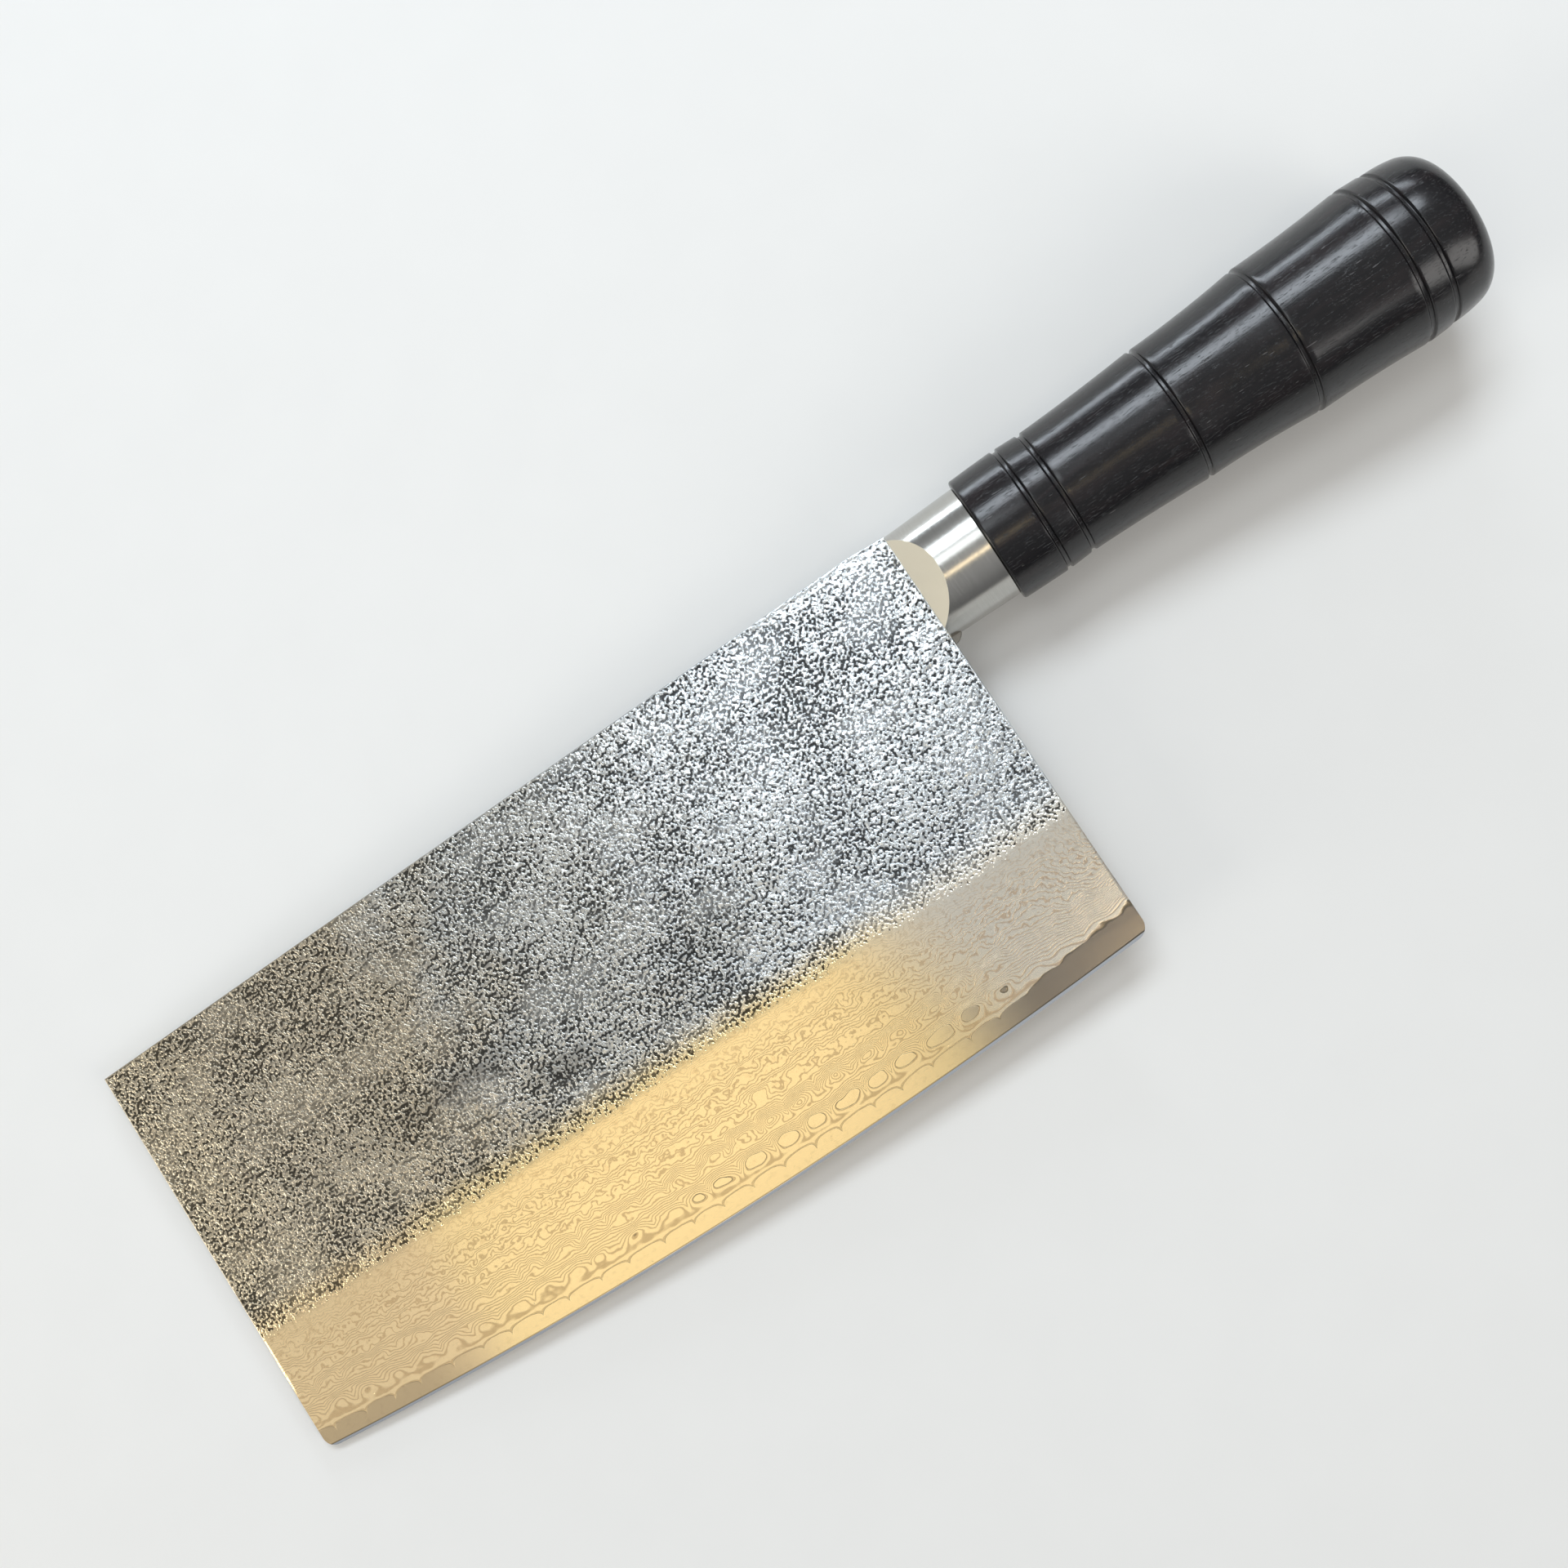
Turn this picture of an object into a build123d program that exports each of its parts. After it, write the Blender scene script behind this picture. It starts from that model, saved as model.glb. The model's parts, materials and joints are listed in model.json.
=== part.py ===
from build123d import *
from math import atan, cos, sin, tan, radians
import os

# Chinese cleaver: a three-layer blade, a round steel bolster and a turned hardwood handle.
# Millimetres, +Z up. The knife lies on its right side: on the fattest ring of the handle and on
# the tip end of the blade. X runs to the blade's tip end, Y to its cutting edge. The origin is on
# the ground, under the middle of the whole knife.

# Blade outline
blade_length = 210.0         # heel to tip end
blade_height = 95.4          # spine to cutting edge, at either end
belly_drop = 4.3             # how far the cutting edge bows out between its ends
corner_radius = 3.0          # rounding of the two corners on the cutting edge
spine_offset = 13.1          # spine above the handle's axis
ease_length = 9.0            # the spine slopes down to the bolster over this length
ease_drop = 0.75

# Blade thickness
heel_spine_thickness = 2.4   # at the spine, heel end
tip_spine_thickness = 1.8    # at the spine, tip end
heel_grind_start = 68.4      # spine to the start of the ground zone, heel end
tip_grind_start = 67.4       # the same at the tip end
heel_grind_thickness = 1.7   # where the ground zone starts, heel end
behind_edge_thickness = 0.34  # at the deepest point of the belly, before the bevel
core_thickness = 0.7         # the hard middle layer
edge_land = 0.05             # blunt width left on the cutting edge
bevel_angle = 16.0           # each side of the cutting edge, in degrees

# Stub of the blade inside the bolster
stub_length = 6.0
stub_height = 17.0
braze_gap = 0.05             # between the stub and its slot, all round

# Bolster
bolster_length = 16.3
bolster_front_radius = 12.25
bolster_back_radius = 12.5
bolster_rim = 0.25           # broken edge at the back
facet_start = 6.4            # height of each front facet's lower line above the middle
facet_run = 5.8              # length of each facet along the bolster
socket_depth = 8.8           # hole for the tang, from the back

# Tang
tang_radius = 3.5
tang_reach = 78.0            # how far it runs into the wood
tang_point = 1.2             # chamfer at both ends
key_width = 3.0              # ring grooves that key the tang into its resin
key_depth = 0.5
key_shares = (0.35, 0.75)    # of the tang's reach

# Handle
handle_length = 106.0
handle_radius = 16.9         # at the fattest ring
handle_rim = 0.5             # chamfer at the front end
ring_width = 1.5             # turned ring grooves, V-shaped
ring_depth = 0.55
bore_radius = 4.6            # blind hole for the tang
bore_spare = 4.0             # hole beyond the end of the tang
dome_start = 5.2             # where the rounded butt starts, before the end
dome_flat_radius = 9.4       # the flatter middle of the butt
dome_flat_rise = 0.45        # crown of that middle
dome_bulge = 1.5             # how far the rim's arc stands out of its chord

# Centres of the ring grooves, as shares of the handle's length
ring_shares = (0.1003, 0.1543, 0.4015, 0.6238, 0.8437, 0.8946)
# Radius of each band between the grooves, as shares of handle_radius: at the front and the back
# of a straight band, and at the front, middle and back of a curved one. The long bands flare
# towards the rings like the joints of a bamboo cane.
band_shares = (
    (0.822, 0.831),
    (0.828, 0.814),
    (0.814, 0.832, 0.870),
    (0.872, 0.891, 0.944),
    (0.957, 0.963, 0.997),
    (1.000, 0.986),
    (0.975, 0.966, 0.940),
)

# Weld bead under the bolster, in the corner that it makes with the heel
weld_reach = 2.2
weld_rise = 1.5

overrun = 1.0                # how far a cutting tool runs past what it cuts

heel_x = bolster_length
tip_x = heel_x + blade_length
spine_y = -spine_offset
corner_y = spine_y + blade_height
deepest_y = corner_y + belly_drop

# Slopes of the flat upper zone of each face, per mm along the blade and down from the spine
distal_slope = (heel_spine_thickness - tip_spine_thickness) / 2 / blade_length
drop_slope = (heel_spine_thickness - heel_grind_thickness) / 2 / heel_grind_start


def half_thickness(x, y):
    return heel_spine_thickness / 2 - distal_slope * (x - heel_x) - drop_slope * (y - spine_y)


# The knife's own middle plane, rolled and tilted until the handle and the tip end touch the ground
ring_centre = ring_shares[4] * handle_length
rest_x = -(ring_centre - ring_width / 2)
roll = atan(drop_slope)
tip_drop = tip_spine_thickness / 2 * cos(roll) + spine_y * sin(roll)
tilt = atan((handle_radius - tip_drop) / (tip_x - rest_x))
middle = Plane(
    origin=(
        -(tip_x - handle_length) / 2 * cos(tilt),
        -(deepest_y - handle_radius) / 2,
        rest_x * sin(tilt) + handle_radius * cos(tilt),
    ),
    x_dir=(cos(tilt), 0, -sin(tilt)),
    z_dir=(cos(roll) * sin(tilt), sin(roll), cos(roll) * cos(tilt)),
)
spin_axis = Axis(middle.origin, middle.x_dir)


def place(x, y, z):
    return middle.from_local_coords(Vector(x, y, z))


def cross_plane(x):
    # square to the handle's axis, with its own X towards the cutting edge
    return Plane(origin=place(x, 0, 0), x_dir=middle.y_dir, z_dir=middle.x_dir)


def side_plane(y):
    # square to the blade and along it, with its own X towards the tip end and its Y up
    return Plane(origin=place(0, y, 0), x_dir=middle.x_dir, z_dir=-middle.y_dir)


def upper_face(side):
    corners = [
        place(x, y, side * half_thickness(x, y))
        for x, y in ((heel_x, spine_y), (tip_x, spine_y), (heel_x, corner_y))
    ]
    along, down = corners[1] - corners[0], corners[2] - corners[0]
    return Plane(origin=corners[0], x_dir=along, z_dir=along.cross(down))


def ground_wedge(x, grind_start):
    # the ground zones of both faces, cut square to the blade and run on up to the spine
    edge_half = behind_edge_thickness / 2
    grind_y = spine_y + grind_start
    slope = (half_thickness(x, grind_y) - edge_half) / (deepest_y - grind_y)
    spine_half = edge_half + slope * (deepest_y - spine_y)
    return [
        (spine_y, spine_half), (deepest_y, edge_half), (deepest_y, -edge_half), (spine_y, -spine_half)
    ]


# The belly is one arc, so its bevel is a pair of cones about the arc's centre
belly_radius = ((blade_length / 2) ** 2 + belly_drop**2) / (2 * belly_drop)
belly_centre = place((heel_x + tip_x) / 2, deepest_y - belly_radius, 0)
stock = heel_spine_thickness + 2 * overrun
stub_thickness = 2 * half_thickness(heel_x, stub_height / 2)

# The whole blade, before it is parted into its three layers. The upper zones are flat. The ground
# zones twist a little, because the blade gets thinner towards its tip end and its edge doesn't.
with BuildPart() as blade_form:
    for x, grind_start in ((heel_x, heel_grind_start), (tip_x, tip_grind_start)):
        with BuildSketch(cross_plane(x)):
            with BuildLine():
                Polyline(*ground_wedge(x, grind_start), close=True)
            make_face()
    loft(ruled=True)
    split(bisect_by=upper_face(1), keep=Keep.BOTTOM)
    split(bisect_by=upper_face(-1), keep=Keep.TOP)
    with BuildSketch(cross_plane(heel_x)):
        Rectangle(stub_height, stub_thickness)
    extrude(amount=-stub_length)
    with BuildSketch(middle.offset(-stock / 2)) as outline:
        with BuildLine():
            Polyline(
                (heel_x, corner_y),
                (heel_x, spine_y + ease_drop),
                (heel_x + ease_length, spine_y),
                (tip_x, spine_y),
                (tip_x, corner_y),
            )
            ThreePointArc(
                (tip_x, corner_y), ((heel_x + tip_x) / 2, deepest_y), (heel_x, corner_y)
            )
        make_face()
        fillet(outline.vertices().group_by(Axis.Y)[-1], radius=corner_radius)
        with Locations((heel_x - stub_length / 2, 0)):
            Rectangle(stub_length, stub_height)
    extrude(amount=stock, mode=Mode.INTERSECT)
    bevel_reach = (stock - edge_land) / 2 / tan(radians(bevel_angle))
    with BuildSketch(Plane(origin=belly_centre, x_dir=middle.y_dir, z_dir=middle.x_dir)):
        with BuildLine():
            Polyline(
                (belly_radius, edge_land / 2),
                (belly_radius - bevel_reach, stock / 2),
                (belly_radius + overrun, stock / 2),
                (belly_radius + overrun, edge_land / 2),
                close=True,
            )
        make_face()
        mirror(about=Plane.XZ)
    revolve(axis=Axis(belly_centre, middle.z_dir), mode=Mode.SUBTRACT)

with BuildPart() as core_plate:
    add(blade_form.part)
    split(bisect_by=middle.offset(core_thickness / 2), keep=Keep.BOTTOM)
    split(bisect_by=middle.offset(-core_thickness / 2), keep=Keep.TOP)
core_plate.part.label = "core_plate"

with BuildPart() as left_cladding:
    add(blade_form.part)
    split(bisect_by=middle.offset(core_thickness / 2), keep=Keep.TOP)
left_cladding.part.label = "left_cladding"

with BuildPart() as right_cladding:
    add(blade_form.part)
    split(bisect_by=middle.offset(-core_thickness / 2), keep=Keep.BOTTOM)
right_cladding.part.label = "right_cladding"

# Rod with ring grooves, driven into the bolster and set in resin in the wood
with BuildPart() as tang:
    with BuildSketch(middle):
        with BuildLine():
            Polyline(
                (socket_depth, 0),
                (socket_depth, tang_radius - tang_point),
                (socket_depth - tang_point, tang_radius),
                (-tang_reach + tang_point, tang_radius),
                (-tang_reach, tang_radius - tang_point),
                (-tang_reach, 0),
                close=True,
            )
        make_face()
        with Locations([(-share * tang_reach, tang_radius) for share in key_shares]):
            Rectangle(key_width, 2 * key_depth, mode=Mode.SUBTRACT)
    revolve(axis=spin_axis)
tang.part.label = "tang"

# Turned bolster: two front facets, a slot for the blade's stub and a hole for the tang
with BuildPart() as bolster:
    with BuildSketch(middle):
        with BuildLine():
            Polyline(
                (0, 0),
                (0, bolster_back_radius - bolster_rim),
                (bolster_rim, bolster_back_radius),
                (heel_x, bolster_front_radius),
                (heel_x, 0),
                close=True,
            )
        make_face()
    revolve(axis=spin_axis)
    with BuildSketch(side_plane(-bolster_front_radius)):
        with BuildLine():
            Polyline(
                (heel_x, facet_start),
                (heel_x - facet_run, bolster_front_radius),
                (heel_x - facet_run, bolster_front_radius + overrun),
                (heel_x + overrun, bolster_front_radius + overrun),
                (heel_x + overrun, facet_start),
                close=True,
            )
        make_face()
        mirror(about=Plane.XZ)
    extrude(amount=-2 * bolster_front_radius, mode=Mode.SUBTRACT)
    with BuildSketch(cross_plane(heel_x)):
        Rectangle(stub_height + 2 * braze_gap, stub_thickness + 2 * braze_gap)
    extrude(amount=-(stub_length + braze_gap), mode=Mode.SUBTRACT)
    add(tang.part, mode=Mode.SUBTRACT)
bolster.part.label = "bolster"

# Turned handle, one profile with the blind hole in it
with BuildPart() as handle:
    ends = [share * handle_length for share in ring_shares]
    starts = [handle_rim] + [end + ring_width / 2 for end in ends]
    stops = [end - ring_width / 2 for end in ends] + [handle_length - dome_start]
    bore_depth = tang_reach + bore_spare
    with BuildSketch(middle):
        with BuildLine() as profile:
            first_radius = band_shares[0][0] * handle_radius
            Polyline((0, bore_radius), (0, first_radius - handle_rim), (-handle_rim, first_radius))
            for start, stop, shares in zip(starts, stops, band_shares):
                if start > handle_rim:
                    groove_front = profile.line @ 1
                    groove_back = Vector(-start, shares[0] * handle_radius)
                    groove_floor = (groove_front + groove_back) / 2 - Vector(0, ring_depth)
                    Polyline(groove_front, groove_floor, groove_back)
                band_front = (-start, shares[0] * handle_radius)
                band_back = (-stop, shares[-1] * handle_radius)
                if len(shares) == 3:
                    band_middle = (-(start + stop) / 2, shares[1] * handle_radius)
                    ThreePointArc(band_front, band_middle, band_back)
                else:
                    Line(band_front, band_back)
            flat_edge = (-handle_length + dome_flat_rise, dome_flat_radius)
            SagittaArc(profile.line @ 1, flat_edge, -dome_bulge)
            Polyline(
                flat_edge,
                (-handle_length, 0),
                (-bore_depth, 0),
                (-bore_depth, bore_radius),
                (0, bore_radius),
            )
        make_face()
    revolve(axis=spin_axis)
handle.part.label = "handle"

# Resin that fills the hole in the wood round the tang
with BuildPart() as bedding_resin:
    with BuildSketch(middle):
        with Locations((-bore_depth / 2, bore_radius / 2)):
            Rectangle(bore_depth, bore_radius)
    revolve(axis=spin_axis)
    add(tang.part, mode=Mode.SUBTRACT)
bedding_resin.part.label = "bedding_resin"

# Bead in the corner between the bolster's underside and the heel
with BuildPart() as shoulder_weld:
    bead_thickness = 2 * half_thickness(heel_x, bolster_front_radius + weld_rise)
    with BuildSketch(middle.offset(-bead_thickness / 2)):
        with BuildLine():
            Polyline(
                (heel_x, bolster_front_radius + weld_rise),
                (heel_x, bolster_front_radius - overrun),
                (heel_x - weld_reach, bolster_front_radius - overrun),
                (heel_x - weld_reach, bolster_front_radius),
            )
            SagittaArc(
                (heel_x - weld_reach, bolster_front_radius),
                (heel_x, bolster_front_radius + weld_rise),
                weld_rise / 5,
            )
        make_face()
    extrude(amount=bead_thickness)
    add(bolster.part, mode=Mode.SUBTRACT)
shoulder_weld.part.label = "shoulder_weld"

os.makedirs("parts", exist_ok=True)
export_step(core_plate.part, "parts/core_plate.step")
export_step(left_cladding.part, "parts/left_cladding.step")
export_step(right_cladding.part, "parts/right_cladding.step")
export_step(tang.part, "parts/tang.step")
export_step(bolster.part, "parts/bolster.step")
export_step(handle.part, "parts/handle.step")
export_step(bedding_resin.part, "parts/bedding_resin.step")
export_step(shoulder_weld.part, "parts/shoulder_weld.step")
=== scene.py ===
import bpy
import json
import math
import numpy as np
from mathutils import Matrix, Vector


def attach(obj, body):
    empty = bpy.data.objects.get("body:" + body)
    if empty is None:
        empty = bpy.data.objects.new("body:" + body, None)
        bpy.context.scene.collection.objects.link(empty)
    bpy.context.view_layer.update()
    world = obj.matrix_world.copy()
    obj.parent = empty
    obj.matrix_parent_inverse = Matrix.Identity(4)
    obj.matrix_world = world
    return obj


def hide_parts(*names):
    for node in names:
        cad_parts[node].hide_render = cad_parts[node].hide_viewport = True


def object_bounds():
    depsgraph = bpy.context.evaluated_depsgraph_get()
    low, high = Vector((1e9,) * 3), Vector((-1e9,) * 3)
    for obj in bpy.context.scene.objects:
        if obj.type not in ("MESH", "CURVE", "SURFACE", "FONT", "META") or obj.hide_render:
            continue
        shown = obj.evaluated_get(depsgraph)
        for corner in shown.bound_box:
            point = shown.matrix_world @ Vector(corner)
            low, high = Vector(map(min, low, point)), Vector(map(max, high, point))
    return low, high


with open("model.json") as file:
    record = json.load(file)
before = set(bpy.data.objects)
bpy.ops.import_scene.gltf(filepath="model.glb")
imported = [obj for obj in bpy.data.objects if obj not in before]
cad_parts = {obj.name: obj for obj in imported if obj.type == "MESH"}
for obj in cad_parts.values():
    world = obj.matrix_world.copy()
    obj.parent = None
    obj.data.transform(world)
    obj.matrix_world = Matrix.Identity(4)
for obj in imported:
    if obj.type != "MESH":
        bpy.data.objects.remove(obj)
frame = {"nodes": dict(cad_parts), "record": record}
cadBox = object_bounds()

# Chinese cleaver lying on its right side. Sizes are in millimetres along the knife's own axes:
# along = from the wood joint to the tip end, down = from the handle's axis to the cutting edge,
# up = out of the left face. Everything is turned into metres in the CAD frame by place().
mm = 0.001


# Knife axes

def knifeAxes():
    # the middle of the knife lies halfway between the two faces that the record gives
    faces = {m["name"]: Vector(m["axis"]) for m in frame["record"]["mounts"]}
    up = (faces["left_face"] - faces["right_face"]).normalized()
    along = Vector((0, 1, 0)).cross(up).normalized()
    return along, up.cross(along), up


def cadRange(node, axis):
    # how far a CAD node reaches along one of the knife's axes
    reach = [v.co.dot(axis) for v in frame["nodes"][node].data.vertices]
    return min(reach), max(reach)


along, down, up = knifeAxes()
origin = (along * cadRange("bolster", along)[0] + down * sum(cadRange("tang", down)) / 2
          + up * sum(cadRange("tang", up)) / 2)
toWorld = np.array([along, down, up]) * mm


def place(points):
    # knife millimetres to metres in the CAD frame, one point or many
    return np.asarray(points, float) @ toWorld + np.array(origin)


# Small helpers for meshes and nodes

def newPiece(name, points, faces, body="root"):
    mesh = bpy.data.meshes.new(name)
    mesh.from_pydata(place(points).tolist(), [], faces)
    mesh.validate()
    mesh.shade_smooth()
    piece = bpy.data.objects.new(name, mesh)
    bpy.context.scene.collection.objects.link(piece)
    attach(piece, body)
    return piece


def addNode(tree, kind, inputs=None, **settings):
    # inputs holds a value or another node's output for each socket
    node = tree.nodes.new(kind)
    for key, value in settings.items():
        setattr(node, key, value)
    for key, value in (inputs or {}).items():
        if isinstance(value, bpy.types.NodeSocket):
            tree.links.new(value, node.inputs[key])
        else:
            node.inputs[key].default_value = value
    return node


def calc(tree, operation, *values):
    # one Math node
    return addNode(tree, "ShaderNodeMath", dict(enumerate(values)), operation=operation).outputs[0]


def vectorCalc(tree, operation, first, second):
    # one Vector Math node
    return addNode(tree, "ShaderNodeVectorMath", {0: first, 1: second}, operation=operation).outputs


def step(tree, value, low, high, start=0.0, end=1.0):
    # smooth change from start to end while value goes from low to high
    inputs = {"Value": value, "From Min": low, "From Max": high, "To Min": start, "To Max": end}
    node = addNode(tree, "ShaderNodeMapRange", inputs, interpolation_type="SMOOTHSTEP")
    return node.outputs[0]


def noise(tree, vector, size, detail=2.0, rough=0.5, distort=0.0):
    # soft noise whose lumps are about size apart, in the vector's own unit
    inputs = {"Vector": vector, "Scale": 1 / size, "Detail": detail,
              "Roughness": rough, "Distortion": distort}
    return addNode(tree, "ShaderNodeTexNoise", inputs).outputs[0]


def centred(tree, value):
    # noise of 0 to 1 as -0.5 to 0.5
    return calc(tree, "SUBTRACT", value, 0.5)


def stretch(tree, vector, x, y, z):
    # scales a vector along its three axes
    return vectorCalc(tree, "MULTIPLY", vector, (x, y, z))[0]


def alongAxes(tree, position, axes):
    # how far a place in the CAD frame lies along each axis of the knife, in millimetres
    moved = vectorCalc(tree, "SUBTRACT", position, origin)[0]
    return [vectorCalc(tree, "DOT_PRODUCT", moved, axis / mm)["Value"] for axis in axes]


def facePlace(tree, x, y, side, sideShift):
    # where the noise is read on a blade face; sideShift keeps the two faces from being alike
    inputs = {0: x, 1: y, 2: calc(tree, "MULTIPLY", side, sideShift)}
    return addNode(tree, "ShaderNodeCombineXYZ", inputs).outputs[0]


def blend(tree, share, first, second, kind="MIX"):
    # mixes two colours
    node = addNode(tree, "ShaderNodeMix", {0: share, 6: first, 7: second}, data_type="RGBA", blend_type=kind)
    return node.outputs[2]


def linear(red, green, blue):
    # a screen colour of 0-255 as the linear colour that a socket takes
    values = [c / 255 for c in (red, green, blue)]
    return tuple(c / 12.92 if c <= 0.04045 else ((c + 0.055) / 1.055) ** 2.4 for c in values) + (1.0,)


def darker(tone, share):
    return tuple(share * c for c in tone[:3]) + (1,)


def newGroup(name, sockets):
    # sockets are (name, "in" or "out", "Float", "Vector" or "Color", value)
    group = bpy.data.node_groups.new(name, "ShaderNodeTree")
    for socketName, side, kind, value in sockets:
        way = "INPUT" if side == "in" else "OUTPUT"
        socket = group.interface.new_socket(socketName, in_out=way, socket_type="NodeSocket" + kind)
        if value is not None:
            socket.default_value = value
    return group, addNode(group, "NodeGroupInput").outputs, addNode(group, "NodeGroupOutput").inputs


def useGroup(tree, group, inputs=None):
    return addNode(tree, "ShaderNodeGroup", inputs, node_tree=group).outputs


def newMaterial(name, metallic, roughness=0.5, **settings):
    # a Principled material, whose constant values stand on the shader's own sockets
    material = bpy.data.materials.new(name)
    material.use_nodes = True
    shader = material.node_tree.nodes["Principled BSDF"]
    shader.inputs["Metallic"].default_value = metallic
    shader.inputs["Roughness"].default_value = roughness
    for key, value in settings.items():
        shader.inputs[key].default_value = value
    return material, material.node_tree, shader


def bump(tree, shader, height):
    # height is in millimetres
    node = addNode(tree, "ShaderNodeBump", {"Height": height, "Distance": mm})
    tree.links.new(node.outputs[0], shader.inputs["Normal"])


# Blade sizes, the same as the CAD model's

blade = dict(
    heel=16.3, tip=226.3, spine=-13.1, deepest=86.6,
    middle=121.3, halfLength=105.0, bellyDrop=4.3,   # the cutting edge's curve
    easeLength=9.0, easeDrop=0.75,       # the spine slopes down to the bolster
    spineHalf=1.2,                       # half the thickness at the spine, by the heel
    distalSlope=0.3 / 210, dropSlope=0.35 / 68.4,    # what it loses per mm along and down
    edgeHalf=0.17,                       # behind the bevel
    grindHeel=55.3, grindTip=54.3,       # where the ground zone starts
    coreHalf=0.35,
    seamWall=0.012,                      # what is left of the cladding where it runs out
    pitch=0.42,                          # mesh width of the pitted skin
    groundPitch=1.2,                     # the same on the ground zone
    gridChange=57.5,                     # where one passes into the other
    rounding=0.28,                       # broken edge round the blade
    roundSteps=(0.0, 0.12, 0.4, 1.0),    # mesh rows on it, as shares of its width
    sharpAngle=40,                       # degrees; keeps the walls out of the face's shading
)
curveRadius = (blade["halfLength"] ** 2 + blade["bellyDrop"] ** 2) / (2 * blade["bellyDrop"])
curveCentre = (blade["middle"], blade["deepest"] - curveRadius)


def flatHalf(x, y):
    return (blade["spineHalf"] - blade["distalSlope"] * (x - blade["heel"])
            - blade["dropSlope"] * (y - blade["spine"]))


def groundSlope(x, grind):
    return (flatHalf(x, grind) - blade["edgeHalf"]) / (blade["deepest"] - grind)


def slopeAt(x):
    # the ground zone's slope, which turns slightly from the heel to the tip
    share = (x - blade["heel"]) / (blade["tip"] - blade["heel"])
    return ((1 - share) * groundSlope(blade["heel"], blade["grindHeel"])
            + share * groundSlope(blade["tip"], blade["grindTip"]))


def groundHalf(x, y):
    return blade["edgeHalf"] + slopeAt(x) * (blade["deepest"] - y)


def seamLine(x):
    # where the cladding runs out and the core starts
    return blade["deepest"] - (blade["coreHalf"] - blade["edgeHalf"]) / slopeAt(x)


def spineLine(x):
    lift = np.clip(1 - (x - blade["heel"]) / blade["easeLength"], 0, 1)
    return blade["spine"] + blade["easeDrop"] * lift


# Knife coordinates for every material

def makeKnifeCoordinates():
    group, _, result = newGroup("knifeCoordinates", [
        ("Along", "out", "Float", None), ("Down", "out", "Float", None), ("Up", "out", "Float", None),
        ("Place", "out", "Vector", None)])
    objectPlace = addNode(group, "ShaderNodeTexCoord").outputs["Object"]
    parts = alongAxes(group, objectPlace, (along, down, up))
    for name, part in zip(("Along", "Down", "Up"), parts):
        group.links.new(part, result[name])
    joined = addNode(group, "ShaderNodeCombineXYZ", dict(enumerate(parts)))
    group.links.new(joined.outputs[0], result["Place"])
    return group


knifeCoordinates = makeKnifeCoordinates()


# Pitted forge skin. The same nodes shape the mesh (geometry nodes) and finish it (material).
# Values in brackets are for step(): from, to, and the outcome at either end.

skin = dict(
    pitSize=0.70, pitDetail=0.8, pitRough=0.5, pitDistort=0.1,
    clusterSize=3.0, clusterShare=0.16,
    level=0.475, soft=0.14,                  # pits lie where the noise is under the level
    patchSize=15.0, patchSwing=0.24,
    leatherSize=1.7, leatherDepth=0.14,
    dentSize=16.0, dentDepth=0.10,
    pressedDepth=0.01, paintedDepth=0.12,    # of the pits, in the mesh and in the bump
    border=53.6,                             # lower end of the pitted zone
    waveSize=7.0, waveSwing=3.4,             # how far it wanders
    sideShift=9.0,
    thinning=(-1.0, 2.6, 0.0, 0.4),          # fewer pits past the border
    heelThinning=(16.0, 60.0, 0.045, 0.0),   # and by the heel
    spineStrip=(-13.0, -8.0, 0.13, 0.0),     # and at the spine
    spineStripEnd=(40.0, 58.0, 1.0, 0.0),
    plainRim=(0.15, 0.5, 1.0, 0.0),          # none on the blade's outline
    swellFade=(-9.0, 2.0, 1.0, 0.0),
    flatRim=0.15, reliefRun=0.6,             # the mesh keeps its outline, and takes the relief within it
)


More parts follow.
